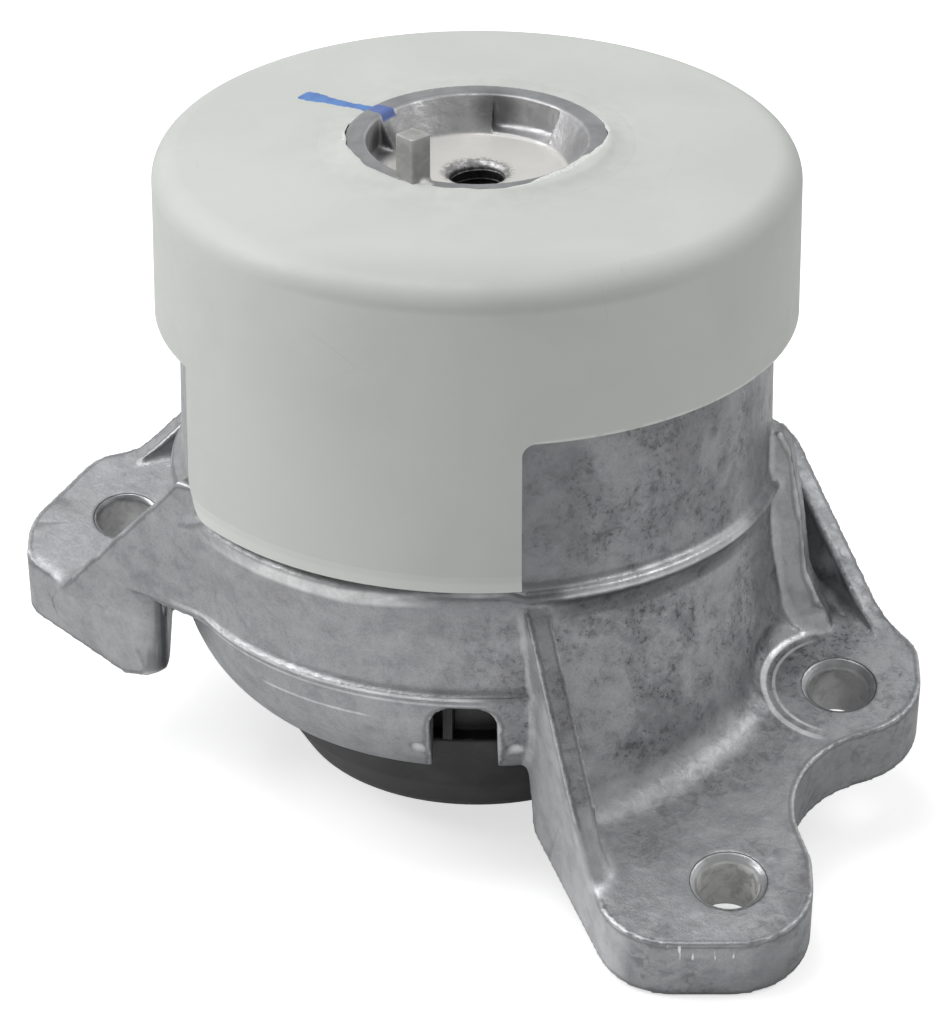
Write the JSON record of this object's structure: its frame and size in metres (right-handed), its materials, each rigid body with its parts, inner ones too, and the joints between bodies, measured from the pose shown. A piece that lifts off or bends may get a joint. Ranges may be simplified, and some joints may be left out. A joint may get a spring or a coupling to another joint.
{
  "type": "engine mount",
  "caption": "Hydraulic engine mount: a cast bracket with three bolt ears around a rubber-sprung core, under a pale heat shield cap with a one-sided skirt.",
  "frame": {"origin": "on the drum's axis, at the upper end of the core's thread", "axes": "+Z along the drum's axis, out of the core; -Y towards the front ear's side; +X towards the ear at the right"},
  "size_m": [0.172, 0.151, 0.1413],
  "materials": {
    "cast_aluminium": "as cast, mottled",
    "core_aluminium": "cast with a machined recess floor",
    "plate_aluminium": "machined",
    "pale_shield": "smooth, pale grey-green",
    "plain_steel": "plain, pressed",
    "rubber": "moulded",
    "black_plastic": "moulded"
  },
  "bodies": {
    "root": {"bracket_casting": "cast_aluminium", "heat_shield_cap": "pale_shield", "core": "core_aluminium", "main_spring": "rubber", "spring_sleeve": "plain_steel", "rebound_stop_plate": "plain_steel", "rebound_buffer": "rubber", "upper_channel_plate": "plate_aluminium", "lower_channel_plate": "plate_aluminium", "decoupler_membrane": "rubber", "bellows": "rubber", "bellows_clamp_ring": "plain_steel", "base_cup": "black_plastic"}
  },
  "joints": []
}
